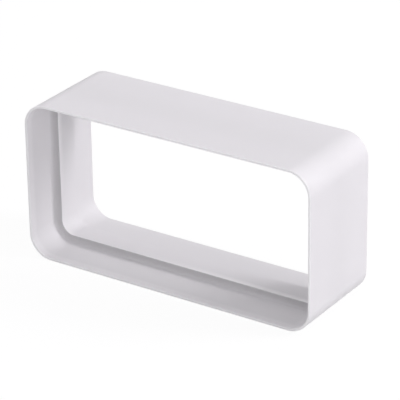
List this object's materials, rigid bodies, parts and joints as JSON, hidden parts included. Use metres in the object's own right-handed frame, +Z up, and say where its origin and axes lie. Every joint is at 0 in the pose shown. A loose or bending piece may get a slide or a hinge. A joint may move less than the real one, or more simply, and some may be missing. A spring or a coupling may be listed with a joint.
{
  "type": "flat duct connector",
  "caption": "Short rectangular sleeve with rounded corners and a stop band inside, which joins flat ventilation ducts end to end.",
  "frame": {"origin": "on the floor, under the middle of the sleeve, which stands on one of its long walls", "axes": "+X across the width, +Y along the air path from the front mouth to the rear mouth, +Z up"},
  "size_m": [0.1226, 0.04, 0.0626],
  "materials": {
    "white_plastic": "satin"
  },
  "bodies": {
    "root": {"connector_sleeve": "white_plastic"}
  },
  "joints": []
}
